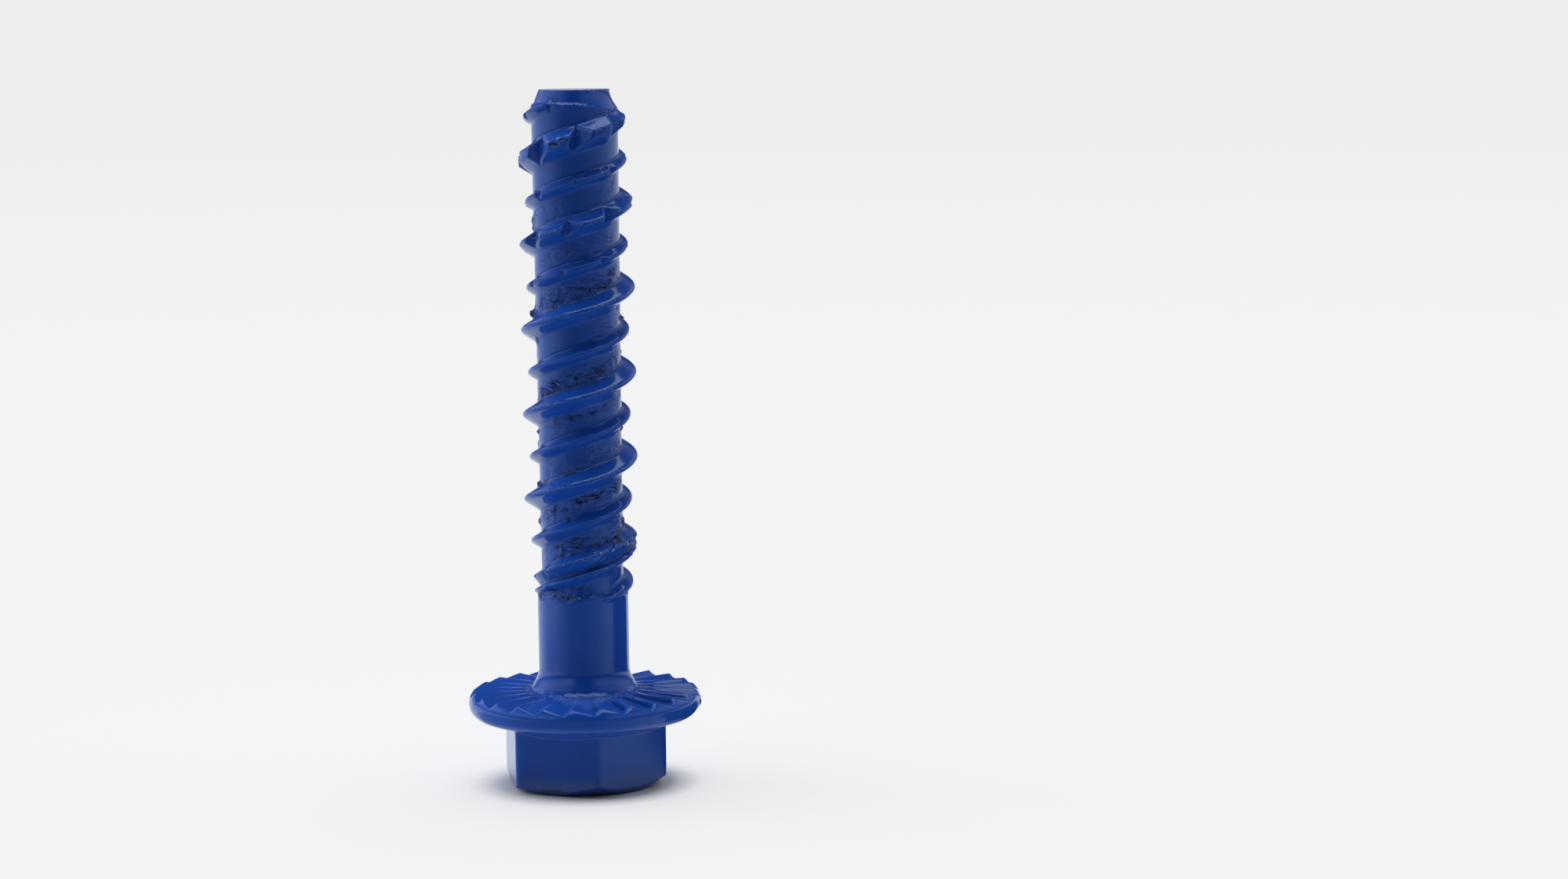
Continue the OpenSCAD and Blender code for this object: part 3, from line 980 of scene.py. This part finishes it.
def lay_sheet(name, material, height=0, turn=0):
    """Lays a wide level sheet under the screw."""
    bpy.ops.mesh.primitive_plane_add(size=FLOOR_SIZE, location=(0, 0, height), rotation=(0, 0, turn))
    sheet = bpy.context.object
    sheet.name = name
    sheet.data.materials.append(material)
    return sheet


def set_camera(scene, look):
    """Sets the camera at its place, with its yaw, pitch and roll."""
    flat = math.cos(look.pitch)
    forward = Vector((math.sin(look.yaw) * flat, math.cos(look.yaw) * flat, -math.sin(look.pitch)))
    across = Vector((math.cos(look.yaw), -math.sin(look.yaw), 0))
    upright = across.cross(forward)
    c, s = math.cos(look.roll), math.sin(look.roll)
    axes = Matrix((c * across + s * upright, c * upright - s * across, -forward)).transposed().to_4x4()
    bpy.ops.object.camera_add()
    camera = bpy.context.object
    camera.matrix_world = Matrix.Translation(look.camera) @ axes
    camera.data.lens = look.lens
    camera.data.sensor_width = 36
    camera.data.sensor_fit = "HORIZONTAL"
    camera.data.clip_start = 0.01
    scene.camera = camera


# Operators

class SCREW_OT_concrete_screw(bpy.types.Operator):
    """Models the screw as one closed, coated piece"""
    bl_idname = "screw.concrete_screw"
    bl_label = "Concrete screw"

    def execute(self, context):
        scene = context.scene
        head, shank, thread = scene.screw_head, scene.screw_shank, scene.screw_thread
        low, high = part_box(NODE)
        top, flange_r = high.z, (high.x - low.x) / 2

        # Tip, sheet and head are swept, then joined to one blank
        end = sweep(draw_line("screw_tip", tip_section(thread, top)), COLUMNS)
        start = top - thread.start_below - thread.lead * (math.degrees(thread.start_turn) / 360 + TURNS_DOWN)
        rows = [(thread.core_tip_width / 2, start + row) for row in thread_rows(thread.lead)]
        sheet = sweep(draw_line("screw_sheet", rows), COLUMNS, turns=SHEET_TURNS, rise=thread.lead)
        trim(SHEET_HIGH, above=True)
        trim(SHEET_LOW, above=False)
        piece = sweep(draw_line("screw_body", head_section(head, shank, flange_r)), COLUMNS)
        for other in (end, sheet):
            other.select_set(True)
        bpy.ops.object.join()
        bridge(piece, JOIN_LOW, SHEET_LOW)
        bridge(piece, SHEET_HIGH, JOIN_HIGH)

        # The blank is rolled, cut and pressed to shape
        blank = Blank(piece)
        roll_threads(blank, thread, shank, top)
        cut_teeth(blank, head, shank, flange_r)
        press_hex(blank, head, flange_r)
        blank.write()
        face_outwards()
        piece.data.materials.clear()
        piece.data.materials.append(blue_coating(scene.screw_coat))
        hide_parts(NODE)
        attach(piece, BODY)
        return {"FINISHED"}


class SCREW_OT_stage(bpy.types.Operator):
    """Lays the floor, hangs the lamps and sets the camera"""
    bl_idname = "screw.stage"
    bl_label = "Stage"

    def execute(self, context):
        scene, look = context.scene, context.scene.screw_stage
        bpy.ops.object.select_all(action="DESELECT")
        lay_sheet("floor", paper_white(look))
        set_camera(scene, look)
        scene.view_settings.view_transform = "Standard"
        scene.world = studio_world(look)
        softbox(look, "key_softbox", turn=180, distance=0.02, height=0.8, size=0.75, level=look.key_level)
        left = softbox(look, "left_softbox", turn=-115, distance=0.6, height=0.19, size=0.35,
                       level=look.left_level)
        left.visible_glossy = False
        card = lay_sheet("reflected_card", graded_card(), CARD_HEIGHT, camera_turn(look))
        card.visible_camera = card.visible_diffuse = card.visible_shadow = card.visible_transmission = False
        return {"FINISHED"}


class SCREW_PT_panel(bpy.types.Panel):
    """Sizes and steps of the screw"""
    bl_label = "Concrete screw"
    bl_space_type = "VIEW_3D"
    bl_region_type = "UI"
    bl_category = "Screw"

    def draw(self, context):
        for key, group in GROUPS.items():
            for name in group.__annotations__:
                self.layout.prop(getattr(context.scene, key), name)
        for step in STEPS:
            self.layout.operator(step.bl_idname)


GROUPS = {
    "screw_head": HeadSizes,
    "screw_shank": ShankSizes,
    "screw_thread": ThreadSizes,
    "screw_coat": CoatLook,
    "screw_stage": StageLook,
}
STEPS = (SCREW_OT_concrete_screw, SCREW_OT_stage)
CLASSES = (*GROUPS.values(), *STEPS, SCREW_PT_panel)


def register():
    for made in CLASSES:
        bpy.utils.register_class(made)
    for key, group in GROUPS.items():
        setattr(bpy.types.Scene, key, PointerProperty(type=group))


def unregister():
    for key in GROUPS:
        delattr(bpy.types.Scene, key)
    for made in reversed(CLASSES):
        bpy.utils.unregister_class(made)


def main():
    register()
    bpy.ops.screw.concrete_screw()
    bpy.ops.screw.stage()


if __name__ == "__main__":
    main()
